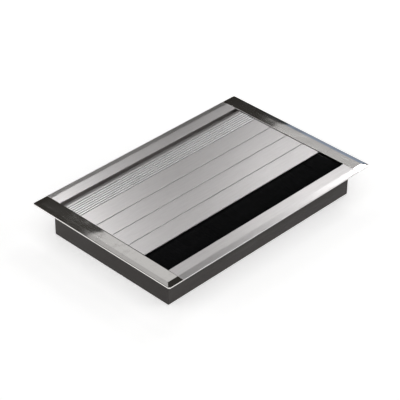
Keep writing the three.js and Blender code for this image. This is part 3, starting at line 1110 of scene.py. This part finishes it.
@dataclass
class Lid:
    """The ribbed extrusion that turns on the pins: a barrel at the rear, the brush's slot in front."""

    half_length: float = field(default_factory=lambda: reach("lid_panel", 0))
    barrel: float = 4.8
    heel_bevel: Pair = (57.0, 60.2)
    heel_drop: float = 0.4
    heel_round: float = 1.0
    heel_angle: float = 15.0
    bore: float = 3.15
    plate: float = 2.2
    front: float = -36.0
    first_rib: float = 39.4
    rib_pitch: float = 2.55
    rib_count: int = 7
    rib_groove: Pair = (1.15, 0.62)
    rib_rounds: Pair = (0.24, 0.05)
    plank_pitch: float = 18.85
    plank_count: int = 3
    plank_groove: Pair = (0.42, 0.42)
    plank_chamfer: Pair = (0.8, 0.12)
    plank_rounds: Triple = (0.06, 0.04, 0.4)
    stiffeners: Pair = (22.0, -4.0)
    stiffener: Pair = (1.6, 2.0)
    slot_back: float = -28.3
    slot_wall: float = 1.8
    slot_height: Pair = (25.7, 29.5)
    slot_lip: float = 1.2
    deburr: float = 0.12
    groove_floor: float = 0.2
    nose: float = 1.0
    cut_depth: float = 0.004

    @property
    def top(self) -> float:
        """The height of the lid's upper face."""
        return HINGE[1] + self.barrel

    def rib_valley(self, y: float) -> list[Corner]:
        """The V between two ribs, whose crests are rounded over, as rows of (y, z, r) towards -Y."""
        width, depth = self.rib_groove
        crest, valley = self.rib_rounds
        left, right = (y + width / 2, self.top, crest), (y - width / 2, self.top, crest)
        return [left, (y, self.top - depth, valley), right]

    def plank_joint(self, y: float) -> list[Corner]:
        """A fine V with a shallow chamfer on its front side, as rows of (y, z, r) towards -Y."""
        width, depth = self.plank_groove
        chamfer, drop = self.plank_chamfer
        edge, valley, shoulder = self.plank_rounds
        return [
            (y + width / 2, self.top, edge),
            (y, self.top - depth, valley),
            (y - width / 2, self.top - drop, edge),
            (y - width / 2 - chamfer, self.top, shoulder),
        ]

    def stiffening_rib(self, y: float) -> list[Corner]:
        """A square rib under the plate, as rows of (y, z, r) towards +Y."""
        half, drop, under = self.stiffener[0] / 2, self.stiffener[1], self.top - self.plate
        corners = ((-half, 0.0), (-half, drop), (half, drop), (half, 0.0))
        return [(y + across, under - down, SOFT) for across, down in corners]

    def outline(self) -> Array:
        """The section, counter-clockwise in the Y-Z plane from the first groove.

        The flat top runs on over the barrel to a shallow bevel, as far back as the frame lets it turn.
        """
        under = self.top - self.plate
        low, high = self.slot_height
        floor = low - self.slot_lip
        heel = self.slot_back + self.slot_wall
        ribs = [self.first_rib + i * self.rib_pitch for i in reversed(range(self.rib_count))]
        planks = [self.first_rib - i * self.plank_pitch for i in range(1, self.plank_count + 1)]
        meets = math.degrees(math.asin((under - HINGE[1]) / self.barrel))
        bevel_top, bevel_foot = self.heel_bevel
        rows = [
            *(corner for y in ribs for corner in self.rib_valley(y)),
            *(corner for y in planks for corner in self.plank_joint(y)),
            (self.front, self.top, SOFT),
            (self.front, high, SOFT / 2),
            (self.slot_back, high, SOFT),
            (self.slot_back, low, SOFT),
            (self.front, low, BROKEN),
            (self.front, floor, SOFT),
            (heel, floor, SOFT),
            (heel, under, 2 * SOFT),
            *(corner for y in reversed(self.stiffeners) for corner in self.stiffening_rib(y)),
            *arc(HINGE, self.barrel, 180.0 - meets, 360.0 + self.heel_angle, 60),
            (bevel_foot, self.top - self.heel_drop, self.heel_round),
            (bevel_top, self.top, SOFT),
        ]
        return filleted(np.array(rows), 3)

    def build(self, palette: Palette) -> None:
        """Sweeps the panel along X and dresses the bushes in its barrel.

        Args:
            palette: The materials.
        """
        tolerance = 0.001
        end = self.half_length
        bore = arc(HINGE, self.bore, 360.0, 0.0, 40)[:-1, :2]
        panel = swept([self.outline(), bore], deburred(-end, end, self.deburr), Axis.X)
        y, z = panel.points[:, 1], panel.points[:, 2]
        last_rib = self.first_rib + (self.rib_count - 1) * self.rib_pitch
        upper = z > self.top - self.plate / 2
        grooved = upper & (y > self.front + self.nose) & (y < last_rib + self.rib_pitch)
        # Painted shade: vertices deep in the grooves, and every vertex of the sawn ends, are marked to be
        # painted near black.
        shaded_recess = np.where(grooved, (self.top - z) / self.groove_floor - 1.0, 0.0).clip(0.0, 1.0)
        shaded_recess[np.abs(panel.points[:, 0]) > end - tolerance] = 1.0
        # Painted highlight: the ribs' crests and the planks' chamfers are marked to be painted near white.
        crest = (y > self.first_rib) & (y < last_rib)
        chamfer = (y < self.first_rib - self.rib_pitch) & (z < self.top - self.cut_depth)
        painted_highlight = np.where(grooved & (crest | chamfer), 1.0 - shaded_recess, 0.0)
        marks = {"shaded_recess": shaded_recess, "painted_highlight": painted_highlight}
        piece("lid_extrusion", panel, palette.aluminium, Body.LID, ["lid_panel"], marks=marks)
        for side in ("left", "right"):
            dress(f"hinge_bush_{side}", palette.nylon)


@dataclass
class Brush:
    """Filaments that lie across the opening, crimped in a steel channel in the lid's slot."""

    half_length: float = 104.2
    columns: int = 520
    layers: int = 6
    root: float = -29.8
    mouth: float = -36.0
    full: float = -41.5
    tip: float = -63.15
    root_height: Pair = (26.75, 28.45)
    full_height: Pair = (25.7, 29.42)
    radius: float = 0.17
    tip_radius: float = 0.13
    ragged: float = 0.55
    wander: float = 0.35
    jitter: float = 0.42
    uneven: float = 0.22
    uneven_top: float = 0.6
    overhang: float = 0.1
    tone: Pair = (0.42, 0.24)
    stations: tuple[float, ...] = (0.0, 0.19, 0.27, 0.36, 0.62, 1.0)
    seed: int = 7
    screw_count: int = 4

    def filaments(self) -> tuple[Surface, Array]:
        """Every filament as a thin four-sided tube, closed at both ends.

        A point is middle(t) + radius(t) (cos s, 0, sin s). The middle runs from the root to the tip along -Y.
        Its height eases from its layer in the crimp to its layer in the full brush, and it drifts sideways
        with t squared.

        Returns:
            The surface, and each vertex's tone.
        """
        draw = np.random.default_rng(self.seed)
        count = self.columns * self.layers
        column, layer = np.divmod(np.arange(count), self.layers)
        share = (layer + 0.5) / self.layers
        pitch = 2.0 * self.half_length / self.columns
        x = -self.half_length + pitch * (column + 0.5 + draw.uniform(-self.jitter, self.jitter, count))
        tips = self.tip + self.ragged * draw.random(count) ** 2
        lean = self.wander * draw.normal(0.0, 0.5, count)
        lift = draw.uniform(-self.uneven, self.uneven, count)
        lift *= np.where(layer == self.layers - 1, self.uneven_top, 1.0)
        stations = np.array(self.stations)
        y = self.root + (tips - self.root)[:, None] * stations
        spread = np.clip((self.mouth - y) / (self.mouth - self.full), 0.0, 1.0)
        spread = spread * spread * (3.0 - 2.0 * spread)
        crimped = self.root_height[0] + np.ptp(self.root_height) * share
        full = self.full_height[0] + np.ptp(self.full_height) * share + lift
        full = np.clip(full, self.full_height[0], self.full_height[1])
        z = crimped[:, None] + (full - crimped)[:, None] * spread
        limit = self.half_length + self.overhang
        x = np.clip(x[:, None] + lean[:, None] * stations**2, -limit, limit)
        thick = self.radius + (self.tip_radius - self.radius) * stations**2
        corner = np.radians([45.0, 135.0, 225.0, 315.0])
        ring = np.stack([np.cos(corner), 0.0 * corner, np.sin(corner)], axis=1)
        points = np.stack([x, y, z], axis=2)[:, :, None, :] + thick[None, :, None, None] * ring
        per_filament = len(stations) * 4
        base = np.arange(len(stations) - 1)[:, None] * 4
        here, after = np.arange(4), np.roll(np.arange(4), -1)
        tube = np.stack([base + here, base + here + 4, base + after + 4, base + after], axis=2).reshape(-1, 4)
        tube = np.concatenate([tube, [[0, 1, 2, 3]], [[per_filament - 1 - i for i in range(4)]]])
        faces = (tube[None] + np.arange(count)[:, None, None] * per_filament).reshape(-1, 4)
        tone = np.repeat(np.clip(draw.normal(*self.tone, count), 0.0, 1.0), per_filament)
        return Surface(points.reshape(-1, 3), faces.tolist()), tone

    def build(self, palette: Palette) -> None:
        """Makes the filaments, and dresses the crimped channel and its screws.

        Args:
            palette: The materials.
        """
        surface, tone = self.filaments()
        mesh = meshed("brush_filaments", surface, palette.filament, {"tone": tone})
        mesh.shade_smooth()
        made = added("brush_filaments", mesh)
        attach(made, Body.LID.value)
        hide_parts("brush_bristles")
        log.info("brush_filaments: %d filaments", self.columns * self.layers)
        dress("brush_backing", palette.steel, 0.1)
        for number in range(1, self.screw_count + 1):
            dress(f"brush_screw_{number}", palette.steel)


# Studio ---------------------------------------------------------------------------------------------------


@dataclass(frozen=True)
class Softbox:
    """A rectangular area light that faces a point. Lengths in metres."""

    name: str
    at: Triple
    towards: Triple
    size: Pair
    watts: float
    colour: Colour = (1.0, 1.0, 1.0)

    def hang(self) -> None:
        """Adds the light to the scene."""
        light = bpy.data.lights.new(self.name, "AREA")
        light.shape = "RECTANGLE"
        light.size, light.size_y = self.size
        light.energy = self.watts
        light.color = self.colour
        made = added(self.name, light)
        made.location = self.at
        aim = Vector(self.towards) - Vector(self.at)
        made.rotation_euler = aim.to_track_quat("-Z", "Y").to_euler()


@dataclass(frozen=True)
class Studio:
    """The floor, the lights and the camera."""

    floor_half: float = 6.0
    ambient: Colour = (1.0, 0.94, 0.84)
    ambient_strength: float = 0.03
    azimuth: float = -45.942
    elevation: float = 35.109
    roll: float = 0.600
    distance: float = 1.32396
    aim: Triple = (-0.02018, -0.01459, 0.031)
    sensor: float = 36.0
    lens: float = 144.0
    clip: Pair = (0.05, 50.0)
    softboxes: tuple[Softbox, ...] = (
        Softbox("overhead_left", (0.82, 0.8575, 1.0), (0.82, 0.8575, 0.0), (0.3, 0.275), 0.145),
        Softbox("overhead_middle", (1.08, 0.75, 1.0), (1.08, 0.75, 0.0), (0.2, 0.36), 0.814),
        Softbox("overhead_right", (1.32, 0.865, 1.0), (1.32, 0.865, 0.0), (0.26, 0.33), 0.119),
        Softbox("outer_left", (0.43, 0.725, 1.0), (0.43, 0.725, 0.0), (0.46, 0.25), 0.152),
        Softbox("front_key", (1.3, 0.345, 1.0), (1.3, 0.345, 0.0), (0.6, 0.41), 3.71),
        Softbox("rear_left_key", (0.555, 0.95, 1.0), (0.555, 0.95, 0.0), (0.13, 0.3), 1.47),
        Softbox("right_strip", (2.2, 1.325, 1.0), (2.2, 1.325, 0.0), (0.6, 0.35), 0.264, (0.62, 0.76, 1.0)),
        Softbox("high", (-0.6, -0.6, 2.6), (-0.6, -0.6, 0.0), (2.8, 2.8), 28.3),
        Softbox("front_left_wall", (-2.0, -2.0, 1.3), (0.0, 0.0, 0.1), (3.4, 2.2), 17.0),
        Softbox("front_right_wall", (2.2, -1.8, 1.1), (0.0, 0.0, 0.1), (2.6, 2.0), 16.0),
        Softbox("rear_left_wall", (-2.2, 1.9, 1.1), (0.0, 0.0, 0.1), (2.6, 2.0), 16.0),
        Softbox("rear_wall", (0.9, 2.9, 0.5), (0.2, 0.0, 0.3), (3.0, 0.9), 1.0),
    )

    def lay_floor(self) -> None:
        """Lays a large sheet of paper under the object."""
        half = self.floor_half
        mesh = bpy.data.meshes.new("floor")
        corners = [(-half, -half, 0.0), (half, -half, 0.0), (half, half, 0.0), (-half, half, 0.0)]
        mesh.from_pydata(corners, [], [(0, 1, 2, 3)])
        mesh.materials.append(StudioPaper().paint())
        floor = added("floor", mesh)

    def light(self) -> None:
        """Sets the even ambient light and hangs the softboxes."""
        world = bpy.data.worlds.new("studio")
        world.use_nodes = True
        background = world.node_tree.nodes["Background"]
        background.inputs["Color"].default_value = opaque(self.ambient)
        background.inputs["Strength"].default_value = self.ambient_strength
        bpy.context.scene.world = world
        for softbox in self.softboxes:
            softbox.hang()

    def place_camera(self) -> None:
        """Puts the camera on its line of sight, at its distance from the point that it looks at."""
        azimuth, elevation, roll = (math.radians(a) for a in (self.azimuth, self.elevation, self.roll))
        back = Vector(
            (
                math.sin(azimuth) * math.cos(elevation),
                -math.cos(azimuth) * math.cos(elevation),
                math.sin(elevation),
            )
        )
        level = (-back).cross(Vector((0.0, 0.0, 1.0))).normalized()
        above = level.cross(-back)
        right = math.cos(roll) * level + math.sin(roll) * above
        up = -math.sin(roll) * level + math.cos(roll) * above
        data = bpy.data.cameras.new("camera")
        data.sensor_width = self.sensor
        data.lens = self.lens
        data.clip_start, data.clip_end = self.clip
        camera = added("camera", data)
        turn = Matrix((right, up, back)).transposed().to_4x4()
        camera.matrix_world = Matrix.Translation(Vector(self.aim) + back * self.distance) @ turn
        bpy.context.scene.camera = camera

    def set_up(self) -> None:
        """Lays the floor, lights it and places the camera."""
        self.lay_floor()
        self.light()
        self.place_camera()
        bpy.context.scene.view_settings.view_transform = "Standard"


def main() -> None:
    """Builds the grommet's sub-assemblies in order, then the studio."""
    logging.basicConfig(level=logging.INFO, format="%(name)s %(message)s")
    palette = Palette.mixed()
    for assembly in (CableWell(), Rails(), EndCaps(), Lid(), Brush()):
        assembly.build(palette)
    Studio().set_up()


if __name__ == "__main__":
    main()
